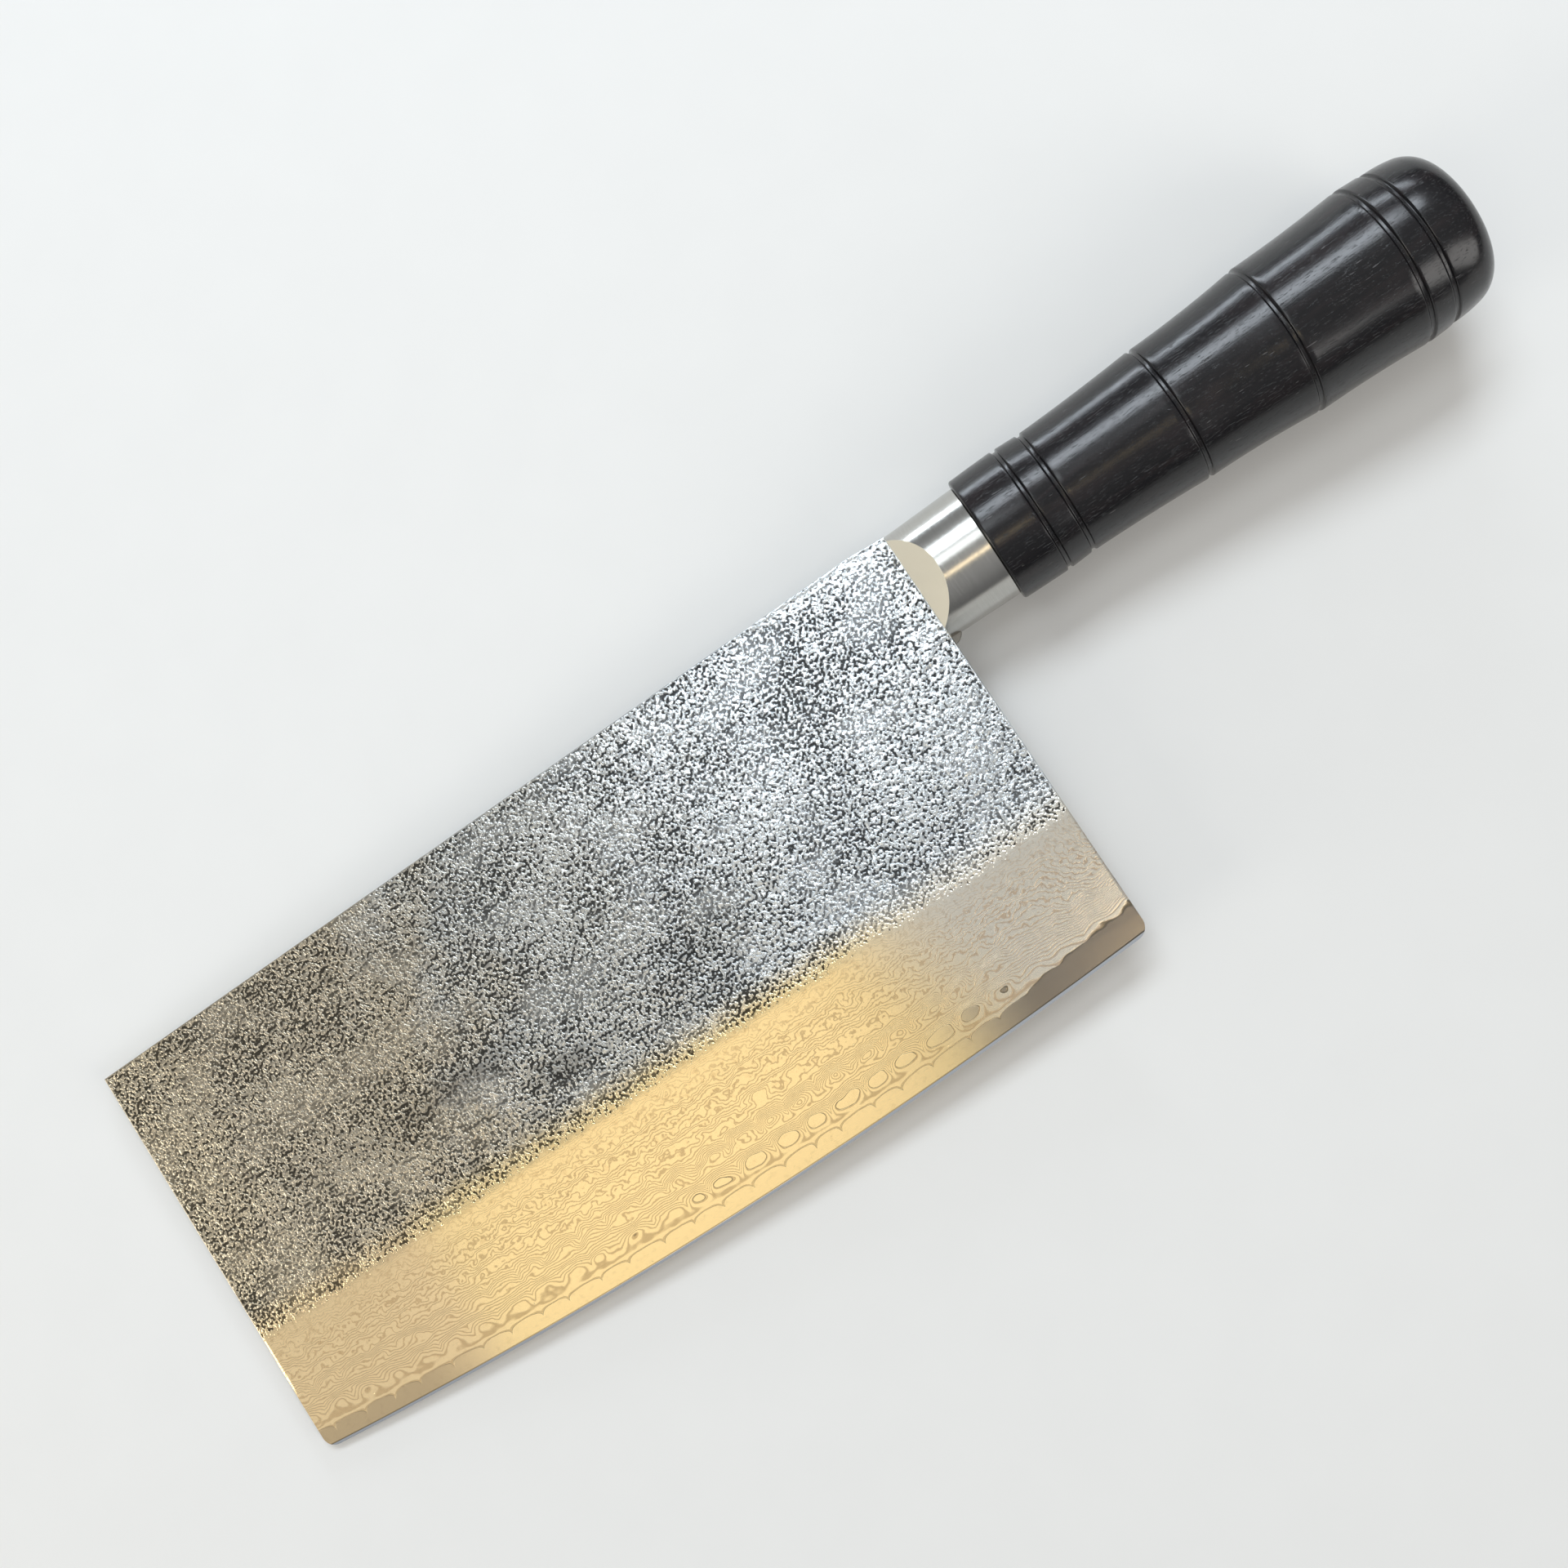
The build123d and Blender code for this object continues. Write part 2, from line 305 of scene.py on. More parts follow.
def pitNodes(tree, x, y, side):
    # how high a place stands (0 pit floor, 1 plateau), its soft swells in mm, and how far it lies
    # past the lower border
    flat = facePlace(tree, x, y, side, skin["sideShift"])
    worms = noise(tree, flat, skin["pitSize"], skin["pitDetail"], skin["pitRough"], skin["pitDistort"])
    clusters = centred(tree, noise(tree, flat, skin["clusterSize"], 1.0))
    lumps = calc(tree, "MULTIPLY_ADD", clusters, skin["clusterShare"], worms)
    patches = centred(tree, noise(tree, flat, skin["patchSize"]))
    wave = centred(tree, noise(tree, flat, skin["waveSize"], 3.0, 0.6))
    border = calc(tree, "MULTIPLY_ADD", wave, skin["waveSwing"], skin["border"])
    beyond = calc(tree, "SUBTRACT", y, border)
    thinning = step(tree, beyond, *skin["thinning"])
    spineStrip = calc(tree, "MULTIPLY", step(tree, y, *skin["spineStrip"]),
                      step(tree, x, *skin["spineStripEnd"]))
    heelThinning = step(tree, x, *skin["heelThinning"])
    level = calc(tree, "MULTIPLY_ADD", patches, skin["patchSwing"], skin["level"])
    for less in (thinning, spineStrip, heelThinning):
        level = calc(tree, "SUBTRACT", level, less)
    height = step(tree, calc(tree, "SUBTRACT", lumps, level), -skin["soft"], skin["soft"])
    # the blade's outline and its narrow sides are plain steel
    lift = calc(tree, "MULTIPLY_ADD", x, -1 / blade["easeLength"], 1 + blade["heel"] / blade["easeLength"])
    topLine = calc(tree, "MULTIPLY_ADD", calc(tree, "MAXIMUM", lift, 0.0), blade["easeDrop"], blade["spine"])
    rim = calc(tree, "MINIMUM", calc(tree, "SUBTRACT", x, blade["heel"]),
               calc(tree, "SUBTRACT", blade["tip"], x))
    rim = calc(tree, "MINIMUM", rim, calc(tree, "SUBTRACT", y, topLine))
    height = calc(tree, "MAXIMUM", height, step(tree, rim, *skin["plainRim"]))
    leather = noise(tree, flat, skin["leatherSize"])
    dents = noise(tree, flat, skin["dentSize"], 1.0)
    swell = calc(tree, "MULTIPLY_ADD", dents, skin["dentDepth"],
                 calc(tree, "MULTIPLY", leather, skin["leatherDepth"]))
    return height, swell, beyond


def pressPits(piece, side):
    # presses the forge skin into the mesh, as far as the point attribute "relief" lets it
    tree = bpy.data.node_groups.new("pressPits", "GeometryNodeTree")
    for way in ("INPUT", "OUTPUT"):
        tree.interface.new_socket("Geometry", in_out=way, socket_type="NodeSocketGeometry")
    start = addNode(tree, "NodeGroupInput")
    end = addNode(tree, "NodeGroupOutput")
    position = addNode(tree, "GeometryNodeInputPosition").outputs[0]
    x, y = alongAxes(tree, position, (along, down))
    sideValue = addNode(tree, "ShaderNodeValue").outputs[0]
    sideValue.default_value = side
    height, swell, beyond = pitNodes(tree, x, y, sideValue)
    relief = addNode(tree, "GeometryNodeInputNamedAttribute", {"Name": "relief"},
                     data_type="FLOAT").outputs[0]
    inside = step(tree, beyond, *skin["swellFade"])
    low = calc(tree, "MULTIPLY", calc(tree, "SUBTRACT", 1.0, height), skin["pressedDepth"])
    depth = calc(tree, "ADD", low, calc(tree, "MULTIPLY", swell, inside))
    depth = calc(tree, "MULTIPLY", depth, relief)
    inward = addNode(tree, "ShaderNodeVectorMath", {0: up * (-side * mm), "Scale": depth},
                     operation="SCALE").outputs[0]
    shift = addNode(tree, "GeometryNodeSetPosition", {"Geometry": start.outputs[0], "Offset": inward})
    tree.links.new(shift.outputs[0], end.inputs[0])
    modifier = piece.modifiers.new("pits", "NODES")
    modifier.node_group = tree
    evaluated = piece.evaluated_get(bpy.context.evaluated_depsgraph_get())
    pressed = bpy.data.meshes.new_from_object(evaluated)
    piece.modifiers.clear()
    piece.data = pressed


def spread(start, end, pitch):
    # even places from start to end, with a few close ones where the edge is rounded
    close = [share * blade["rounding"] for share in blade["roundSteps"]]
    first = [start + c for c in close]
    last = [end - c for c in reversed(close)]
    count = max(1, round((last[0] - first[-1]) / pitch))
    return np.array(first + list(np.linspace(first[-1], last[0], count + 1)[1:-1]) + last)


def skinGrid():
    # the face as a grid of (x, y, half thickness), fine on the pitted zone and coarser below it
    xs = spread(blade["heel"], blade["tip"], blade["pitch"])
    change = blade["gridChange"]
    upper = spread(blade["spine"], 2 * change - blade["spine"], blade["pitch"])
    upper = upper[upper < change]
    lowerCount = round((seamLine(curveCentre[0]) - change) / blade["groundPitch"])
    lower = np.linspace(0, 1, lowerCount + 1)
    face = np.zeros((len(xs), len(upper) + len(lower), 3))
    for column, x in zip(face, xs):
        top = spineLine(x)
        squeezed = top + (upper - blade["spine"]) * (change - top) / (change - blade["spine"])
        column[:, 0] = x
        column[:, 1] = np.concatenate([squeezed, change + lower * (seamLine(x) - change)])
    x, y = face[..., 0], face[..., 1]
    away = np.minimum.reduce([x - blade["heel"], blade["tip"] - x, y - spineLine(x)])
    short = np.clip(blade["rounding"] - away, 0, None)
    sink = blade["rounding"] - np.sqrt(np.maximum(blade["rounding"] ** 2 - short ** 2, 0))
    least = blade["coreHalf"] + blade["seamWall"]
    face[..., 2] = np.maximum(np.minimum(flatHalf(x, y), groundHalf(x, y)) - sink, least)
    return face, away


def makeCladding(name, side):
    # one outer layer of the blade: its face, a plain back on the core, and low walls
    face, away = skinGrid()
    columns, rows = away.shape
    points = (face * (1, 1, side)).reshape(-1, 3).tolist()
    index = np.arange(columns * rows).reshape(columns, rows)
    rim = np.concatenate([index[:, 0], index[-1, 1:], index[-2::-1, -1], index[0, -2:0:-1]]).tolist()
    first = len(points)
    points += [[*points[corner][:2], side * blade["coreHalf"]] for corner in rim]
    quads = np.stack([index[:-1, :-1], index[1:, :-1], index[1:, 1:], index[:-1, 1:]], -1)
    faces = quads.reshape(-1, 4).tolist()
    for k, corner in enumerate(rim):
        following = (k + 1) % len(rim)
        faces.append([corner, first + k, first + following, rim[following]])
    faces.append(list(range(first, first + len(rim)))[::-1])
    if side < 0:
        faces = [corners[::-1] for corners in faces]
    piece = newPiece(name, points, faces)
    relief = np.zeros(len(points), np.float32)
    relief[:away.size] = np.clip((away.reshape(-1) - skin["flatRim"]) / skin["reliefRun"], 0, 1)
    piece.data.attributes.new("relief", "FLOAT", "POINT").data.foreach_set("value", relief)
    pressPits(piece, side)
    piece.data.set_sharp_from_angle(angle=math.radians(blade["sharpAngle"]))
    return piece


# Layer lines of the ground zone. Values in brackets are for step().

layers = dict(
    hillAlong=5.2, hillDown=3.1, hillSwing=6.0,
    ruffleSize=1.7, ruffleSwing=2.3,
    cellAlong=7.8, cellDown=5.5, cellFirst=8.0, cellSwing=8.5,   # the hammered dimples behind the ovals
    pushSize=9.0, pushSwing=7.0,             # slow noise moves the dimples
    unevenSize=6.0, unevenSwing=1.1, unevenLeast=0.36,           # and makes some deeper than others
    pitch=0.92,                              # mm of depth from line to line
    lineWidth=0.27, lineFade=(0.2, 0.25),
    coreFade=0.1,
    outline=0.12, outlineFade=(0.4, 1.6),
    sideShift=5.0,
    # by the place along the blade
    cellHeel=(36.0, 62.0, 0.15, 1.0), cellTip=(112.0, 134.0, 1.0, 0.45),
    calmHeel=(22.0, 60.0, 0.5, 1.0),
    coreWidth=(26.0, 60.0, 6.0, 3.1),
    # by the distance from the cutting edge
    cellUpper=(9.0, 20.0, 1.0, 0.15), pastFirst=(5.0, 6.2),
    hillEdge=(4.0, 10.0, 0.35, 1.0), ruffleEdge=(5.0, 24.0, 0.1, 1.0),
    finerEdge=(6.0, 15.0, 0.5, 1.0),
    finerHeel=(30.0, 52.0, 1.5, 1.0),        # by both together
    steep=(0.3, 0.8, 1.0, 1.6),              # by the depth of a dimple
)


def makeLayerLines():
    # contour lines of a hilly depth field, as the ground face cuts through the forged layers
    group, source, result = newGroup("layerLines", [
        ("Along", "in", "Float", 0.0), ("Down", "in", "Float", 0.0), ("Side", "in", "Float", 1.0),
        ("Line", "out", "Float", None), ("Core", "out", "Float", None), ("Outline", "out", "Float", None),
        ("Edge Distance", "out", "Float", None)])
    x, y, side = source["Along"], source["Down"], source["Side"]
    fromCentre = [calc(group, "SUBTRACT", value, centre) for value, centre in zip((x, y), curveCentre)]
    squares = [calc(group, "MULTIPLY", value, value) for value in fromCentre]
    edge = calc(group, "SUBTRACT", curveRadius, calc(group, "SQRT", calc(group, "ADD", *squares)))
    flat = facePlace(group, x, y, side, layers["sideShift"])
    hillPlace = stretch(group, flat, 1 / layers["hillAlong"], 1 / layers["hillDown"], 1.0)
    hills = centred(group, noise(group, hillPlace, 1.0, 1.5, 0.5, 0.2))
    ruffles = centred(group, noise(group, flat, layers["ruffleSize"]))

    # rows of dimples, pushed about by slow noise
    push = centred(group, noise(group, flat, layers["pushSize"], 1.0))
    push = calc(group, "MULTIPLY", push, layers["pushSwing"])
    turn = calc(group, "MULTIPLY", calc(group, "ADD", x, push), math.pi / layers["cellAlong"])
    acrossCells = calc(group, "ABSOLUTE", calc(group, "COSINE", turn))
    rise = calc(group, "SUBTRACT", edge, layers["cellFirst"])
    rise = calc(group, "MULTIPLY", rise, 2 * math.pi / layers["cellDown"])
    downCells = calc(group, "MULTIPLY_ADD", calc(group, "COSINE", rise), 0.5, 0.5)
    cells = calc(group, "MULTIPLY", acrossCells, downCells)
    uneven = noise(group, flat, layers["unevenSize"], 1.0)
    uneven = calc(group, "MULTIPLY_ADD", uneven, layers["unevenSwing"], layers["unevenLeast"])
    uneven = calc(group, "MULTIPLY", uneven, step(group, x, *layers["cellTip"]))
    uneven = calc(group, "MULTIPLY", uneven, step(group, edge, *layers["cellUpper"]))
    pastFirst = step(group, edge, *layers["pastFirst"])
    uneven = calc(group, "MULTIPLY_ADD", calc(group, "SUBTRACT", uneven, 1.0), pastFirst, 1.0)
    for share in (uneven, step(group, x, *layers["cellHeel"])):
        cells = calc(group, "MULTIPLY", cells, share)

    # the pattern is calm and fine by the heel, and rough near the pitted zone
    calm = step(group, x, *layers["calmHeel"])
    near = step(group, edge, *layers["hillEdge"])
    hills = calc(group, "MULTIPLY", calc(group, "MULTIPLY", hills, calm), near)
    field = calc(group, "MULTIPLY_ADD", hills, layers["hillSwing"], edge)
    ruffles = calc(group, "MULTIPLY", ruffles, step(group, edge, *layers["ruffleEdge"]))
    field = calc(group, "MULTIPLY_ADD", ruffles, layers["ruffleSwing"], field)
    field = calc(group, "MULTIPLY_ADD", cells, -layers["cellSwing"], field)
    finer = step(group, calc(group, "ADD", x, edge), *layers["finerHeel"])
    finer = calc(group, "MULTIPLY", finer, step(group, edge, *layers["finerEdge"]))
    turns = calc(group, "DIVIDE", calc(group, "MULTIPLY", field, finer), layers["pitch"])
    wave = calc(group, "MULTIPLY", calc(group, "PINGPONG", turns, 0.5), 2.0)
    below, above = layers["lineFade"]
    line = step(group, wave, layers["lineWidth"] - below, layers["lineWidth"] + above, 1.0, 0.0)
    coreWidth = step(group, x, *layers["coreWidth"])
    pastCore = calc(group, "SUBTRACT", field, coreWidth)
    core = step(group, pastCore, -layers["coreFade"], layers["coreFade"], 1.0, 0.0)
    # the outline keeps its width where the field is steep
    steep = step(group, cells, *layers["steep"])
    thin, wide = [layers["outline"] * share for share in layers["outlineFade"]]
    outline = step(group, calc(group, "DIVIDE", calc(group, "ABSOLUTE", pastCore), steep),
                   thin, wide, 1.0, 0.0)
    for name, value in (("Line", line), ("Core", core), ("Outline", outline), ("Edge Distance", edge)):
        group.links.new(value, result[name])
    return group


layerLines = makeLayerLines()


def makeBrushing():
    # fine scratches: Stretch is how much longer than wide they are along each of the knife's axes
    group, source, result = newGroup("brushing", [
        ("Place", "in", "Vector", None), ("Width", "in", "Float", 0.1),
        ("Stretch", "in", "Vector", (1, 1, 1)), ("Value", "out", "Float", None)])
    drawn = vectorCalc(group, "DIVIDE", source["Place"], source["Stretch"])[0]
    scale = calc(group, "DIVIDE", 1.0, source["Width"])
    fine = addNode(group, "ShaderNodeTexNoise", {"Vector": drawn, "Scale": scale, "Detail": 2.0}).outputs[0]
    group.links.new(fine, result["Value"])
    return group


brushing = makeBrushing()


# Blade steel. Values in brackets are for step().

steel = dict(
    # plateau tones, partly painted reflection: cool by the heel, browner toward the tip
    heelPlateau=linear(216, 222, 226), middlePlateau=linear(205, 206, 202),
    tipPlateau=linear(198, 188, 168), endPlateau=linear(202, 190, 166),
    # the ground zone's gold is partly a real straw tint of the etched steel and partly a painted warm
    # reflection
    heelGround=linear(238, 233, 220), goldTintAndReflection=linear(250, 226, 172), tipGround=linear(240, 216, 172),
    # dark patches: partly real stains, partly painted shade
    stainAndShade=linear(86, 82, 78), stainAndShadeShare=0.5,
    layer=linear(150, 112, 66), layerShare=0.38,
    coreOutline=linear(104, 92, 66), outlineShare=0.7, dullCore=linear(120, 108, 96),
    # the polished bevel, partly a painted highlight: pale and bluish
    bevel=linear(236, 241, 247),
    # painted shade in the pits, partly dark oxide: how dark a pit floor is kept
    pitShade=0.08, tipPitShade=0.11, calmShade=0.3,
    # where along the blade one tone passes into the next
    toMiddle=(60, 120), toTip=(125, 170), toEnd=(196, 220), toGoldTintAndReflection=(70, 102), toTipGround=(172, 188),
    pitTip=(90, 170), lineHeel=(36.0, 80.0, 1.5, 1.0),
    dullHeel=(40.0, 66.0, 0.8, 0.0), dullTip=(176.0, 200.0, 0.0, 0.45),
    cloudSize=13.0, cloudSwing=60.0,         # how far noise moves the plateaus' tones
    slant=0.45,                              # how far the gold tint and its painted warm reflection lean, in mm along per mm down
    smearSize=2.6, smearStretch=(0.2, 0.9, 1.0), smearSwing=4.0,   # ragged edges of the dark patches
    # past the pitted zone's border
    ground=(-1.0, 1.0), groundTone=(-7.0, 0.8), lineBorder=(1.0, 9.0, 0.35, 1.0),
    mottleSize=1.4, mottleMask=(0.5, 0.72), mottleFade=(3.0, 16.0, 0.28, 0.1),
    # up from the cutting edge
    bevelLine=(0.75, 0.95, 0.6, 0.0), bevelWidth=(0.56, 0.66, 1.0, 0.0),
    calmSize=11.0, calmStretch=(0.6, 1.0, 0.3), calmMask=(0.46, 0.68),   # patches with less painted shade in the pits
    brightness=(0.12, 0.82),                 # painted shading of a pit's wall, by its height
    pitRoughness=0.44, plateauChange=-0.22, stainAndShadeChange=0.16, groundChange=-0.03, lineChange=0.2,
    brushWidth=0.12, brushStretch=(60, 1, 1),
    lineRelief=-0.012, outlineRelief=-0.01, brushRelief=0.003,   # mm
)
# soft dark patches, partly real stains and partly painted shade where darker surroundings are reflected
# toward the tip: middle along and down, half length, half height, strength
stainsAndShade = ((152, 31.5, 17, 4.0, 1.0), (132, 41, 12, 3.4, 0.8), (96, 36, 17, 7.5, 0.45),
          (98, 45, 11, 3.0, 0.4), (180, 32, 30, 5.0, 0.35), (150, 0, 22, 8.0, 0.2))
stainAndShadeFade = (0.2, 1.25)   # from its middle, as shares of its half sizes


def stainAndShadeNodes(tree, x, y, wobble):
    total = None
    for middleAlong, middleDown, halfLength, halfHeight, strength in stainsAndShade:
        reach = []
        for value, middle, half in ((x, middleAlong, halfLength), (y, middleDown, halfHeight)):
            offset = calc(tree, "DIVIDE", calc(tree, "SUBTRACT", value, middle), half)
            reach.append(calc(tree, "MULTIPLY", offset, offset))
        far = calc(tree, "ADD", calc(tree, "SQRT", calc(tree, "ADD", *reach)), wobble)
        spot = step(tree, far, *stainAndShadeFade, strength, 0.0)
        total = spot if total is None else calc(tree, "MAXIMUM", total, spot)
    return total


def makeBladeSteel(name):
    material, tree, shader = newMaterial(name, 1.0)
    where = useGroup(tree, knifeCoordinates)
    x, y = where["Along"], where["Down"]
    side = calc(tree, "SIGN", where["Up"])
    height, swell, beyond = pitNodes(tree, x, y, side)
    lines = useGroup(tree, layerLines, {"Along": x, "Down": y, "Side": side})
    ground = step(tree, beyond, *steel["ground"])

    # tone of the polished metal, which changes slowly from the heel to the tip; the cool tone by the heel is
    # partly a painted reflection of a cool window, and the browner tone toward the tip partly painted
    # reflection of darker surroundings
    cloud = centred(tree, noise(tree, where["Place"], steel["cloudSize"], 3.0, 0.55))
    drift = calc(tree, "MULTIPLY_ADD", cloud, steel["cloudSwing"], x)
    plateau = steel["heelPlateau"]
    for change, tone in (("toMiddle", "middlePlateau"), ("toTip", "tipPlateau"), ("toEnd", "endPlateau")):
        plateau = blend(tree, step(tree, drift, *steel[change]), plateau, steel[tone])
    # painted warm reflection: the ground zone turns gold toward its middle, partly a real straw tint
    slant = calc(tree, "MULTIPLY_ADD", y, steel["slant"], x)
    groundTone = blend(tree, step(tree, slant, *steel["toGoldTintAndReflection"]), steel["heelGround"], steel["goldTintAndReflection"])
    groundTone = blend(tree, step(tree, x, *steel["toTipGround"]), groundTone, steel["tipGround"])
    smear = noise(tree, stretch(tree, where["Place"], *steel["smearStretch"]), steel["smearSize"], 6.0, 0.8)
    wobble = calc(tree, "MULTIPLY", centred(tree, smear), steel["smearSwing"])
    # painted shade and stains: soft dark patches darken the plateau tone
    stainAndShade = stainAndShadeNodes(tree, x, y, wobble)
    stainedAndShaded = calc(tree, "MULTIPLY", stainAndShade, steel["stainAndShadeShare"])
    metal = blend(tree, stainedAndShaded, plateau, steel["stainAndShade"])
    # the ground zone's tone, painted warm reflection included, reaches a little above the pitted zone's
    # border
    metal = blend(tree, step(tree, beyond, *steel["groundTone"]), metal, groundTone)

    # layer lines fade near the pitted zone; the core is plain, dull by the heel and the tip
    lineShare = calc(tree, "MULTIPLY", step(tree, beyond, *steel["lineBorder"]), steel["layerShare"])
    lineShare = calc(tree, "MULTIPLY", calc(tree, "MULTIPLY", lines["Line"], ground), lineShare)
    lineShare = calc(tree, "MULTIPLY", lineShare, calc(tree, "SUBTRACT", 1.0, lines["Core"]))
    lineShare = calc(tree, "MULTIPLY", lineShare, step(tree, x, *steel["lineHeel"]))
    mottlePlace = stretch(tree, where["Place"], 1.0, 1.0, 0.0)   # the same through the thickness
    mottle = step(tree, noise(tree, mottlePlace, steel["mottleSize"], 3.0, 0.65), *steel["mottleMask"])
    mottle = calc(tree, "MULTIPLY", calc(tree, "MULTIPLY", mottle, ground),
                  step(tree, beyond, *steel["mottleFade"]))
    metal = blend(tree, mottle, metal, steel["layer"])
    metal = blend(tree, lineShare, metal, steel["layer"])
    dullEnds = calc(tree, "ADD", step(tree, x, *steel["dullHeel"]), step(tree, x, *steel["dullTip"]))
    metal = blend(tree, calc(tree, "MULTIPLY", lines["Core"], dullEnds), metal, steel["dullCore"])
    outlined = calc(tree, "MULTIPLY", lines["Outline"], steel["outlineShare"])
    metal = blend(tree, outlined, metal, steel["coreOutline"])
    edge = lines["Edge Distance"]
    metal = blend(tree, step(tree, edge, *steel["bevelLine"]), metal, steel["coreOutline"])
    # the bevel is painted pale and bluish, partly polished steel and partly a painted highlight
    metal = blend(tree, step(tree, edge, *steel["bevelWidth"]), metal, steel["bevel"])

    # painted shade: pit floors are darkened in the colour, partly as real dark oxide, and their walls
    # lighten toward the rims and plateaus
    floorShade = step(tree, x, *steel["pitTip"], steel["pitShade"], steel["tipPitShade"])
    calmPlace = stretch(tree, where["Place"], *steel["calmStretch"])
    calmSpots = step(tree, noise(tree, calmPlace, steel["calmSize"]), *steel["calmMask"])
    floorShade = calc(tree, "MULTIPLY_ADD", calmSpots, steel["calmShade"], floorShade)
    bright = step(tree, height, *steel["brightness"])
    shade = calc(tree, "MULTIPLY_ADD", bright, calc(tree, "SUBTRACT", 1.0, floorShade), floorShade)
    greyShade = addNode(tree, "ShaderNodeCombineColor", {0: shade, 1: shade, 2: shade}).outputs[0]
    tree.links.new(blend(tree, 1.0, metal, greyShade, "MULTIPLY"), shader.inputs["Base Color"])

    # plateaus are satin, pits matt, the ground zone smoother
    rough = calc(tree, "MULTIPLY_ADD", height, steel["plateauChange"], steel["pitRoughness"])
    for mask, change in ((stainedAndShaded, "stainAndShadeChange"), (ground, "groundChange"), (lineShare, "lineChange")):
        rough = calc(tree, "MULTIPLY_ADD", mask, steel[change], rough)
    tree.links.new(rough, shader.inputs["Roughness"])

    # crisp pits, faintly sunk layer lines, fine brushing along the blade; heights in mm
    brush = useGroup(tree, brushing, {"Place": where["Place"], "Width": steel["brushWidth"],
                                      "Stretch": steel["brushStretch"]})["Value"]
    pits = calc(tree, "MULTIPLY", height, skin["paintedDepth"])
    swells = calc(tree, "MULTIPLY", swell, step(tree, beyond, *skin["swellFade"]))
    relief = calc(tree, "SUBTRACT", pits, swells)
    for mask, change in ((lineShare, "lineRelief"), (lines["Outline"], "outlineRelief"),
                         (brush, "brushRelief")):
        relief = calc(tree, "MULTIPLY_ADD", mask, steel[change], relief)
    bump(tree, shader, relief)
    return material


# Bolster steel

collar = dict(
    darkTurn=linear(172, 170, 164), lightTurn=linear(200, 199, 195), facet=linear(212, 206, 190),
    turnWidth=0.09, turnStretch=(1, 50, 50), turnRelief=0.006,
    facetMask=(0.03, 0.08),
    cloudSize=3.0, roughness=0.11, cloudChange=0.06, turnChange=0.12, facetChange=0.25,
)


def makeBolsterSteel(name):
    material, tree, shader = newMaterial(name, 1.0)
    where = useGroup(tree, knifeCoordinates)
    rings = useGroup(tree, brushing, {"Place": where["Place"], "Width": collar["turnWidth"],
                                      "Stretch": collar["turnStretch"]})["Value"]
    clouds = noise(tree, where["Place"], collar["cloudSize"], 3.0)
    # the front facets are milled and matt
    facet = step(tree, addFacing(tree), *collar["facetMask"])
    tone = blend(tree, rings, collar["darkTurn"], collar["lightTurn"])
    tone = blend(tree, facet, tone, collar["facet"])
    tree.links.new(tone, shader.inputs["Base Color"])
    rough = calc(tree, "MULTIPLY_ADD", clouds, collar["cloudChange"], collar["roughness"])
    rough = calc(tree, "MULTIPLY_ADD", rings, collar["turnChange"], rough)
    rough = calc(tree, "MULTIPLY_ADD", facet, collar["facetChange"], rough)
    tree.links.new(rough, shader.inputs["Roughness"])
    bump(tree, shader, calc(tree, "MULTIPLY", rings, collar["turnRelief"]))
    return material


def addFacing(tree):
    # how much the surface faces the tip end: only the front facets and the front end do
    normal = addNode(tree, "ShaderNodeNewGeometry").outputs["Normal"]
    return vectorCalc(tree, "DOT_PRODUCT", normal, along)["Value"]


# Hidden metals and resin

hidden = dict(
    tang=linear(160, 160, 158), tangRoughness=0.4,
    weld=linear(150, 146, 138), weldRoughness=0.5,
    steelLumps=0.8, steelDark=0.7, steelBelow=0.12, steelChange=0.25,
    resinDark=linear(120, 96, 56), resinLight=linear(168, 140, 90),
    resinLumps=2.0, resinRoughness=0.4, resinChange=0.2,
    relief=0.05,
)


def makePlainSteel(name, tone, roughness):
    material, tree, shader = newMaterial(name, 1.0)
    where = useGroup(tree, knifeCoordinates)
    lumps = noise(tree, where["Place"], hidden["steelLumps"], 4.0, 0.6)
    tree.links.new(blend(tree, lumps, darker(tone, hidden["steelDark"]), tone), shader.inputs["Base Color"])
    least = roughness - hidden["steelBelow"]
    rough = calc(tree, "MULTIPLY_ADD", lumps, hidden["steelChange"], least)
    tree.links.new(rough, shader.inputs["Roughness"])
    bump(tree, shader, calc(tree, "MULTIPLY", lumps, hidden["relief"]))
    return material


def makeResin(name):
    material, tree, shader = newMaterial(name, 0.0, IOR=1.5)
    where = useGroup(tree, knifeCoordinates)
    lumps = noise(tree, where["Place"], hidden["resinLumps"], 4.0, 0.6)
    tone = blend(tree, lumps, hidden["resinDark"], hidden["resinLight"])
    tree.links.new(tone, shader.inputs["Base Color"])
    rough = calc(tree, "MULTIPLY_ADD", lumps, hidden["resinChange"], hidden["resinRoughness"])
    tree.links.new(rough, shader.inputs["Roughness"])
    bump(tree, shader, calc(tree, "MULTIPLY", lumps, hidden["relief"]))
    return material


# Handle wood. Stretches are lumps per mm along, down and up, so small numbers make long streaks.

wood = dict(
    dark=linear(9, 9, 12), brown=linear(30, 24, 25), pore=linear(6, 6, 7), scuff=linear(120, 118, 118),
    roughness=0.2, fibreBelow=0.06, fibreChange=0.12, scratchChange=0.2,
    figure=(0.05, 0.35, 0.35), figureMask=(0.42, 0.72),
    fibre=(0.12, 3.2, 3.2), fibreMask=(0.4, 0.7), fibreShare=0.35,
    pores=(0.45, 5.0, 5.0), poreMask=(0.60, 0.70),
    scratches=(0.28, 2.6, 2.6), scratchMask=(0.75, 0.79), scratchShare=0.4,
    poreRelief=-0.03, fibreRelief=0.014,     # mm
)


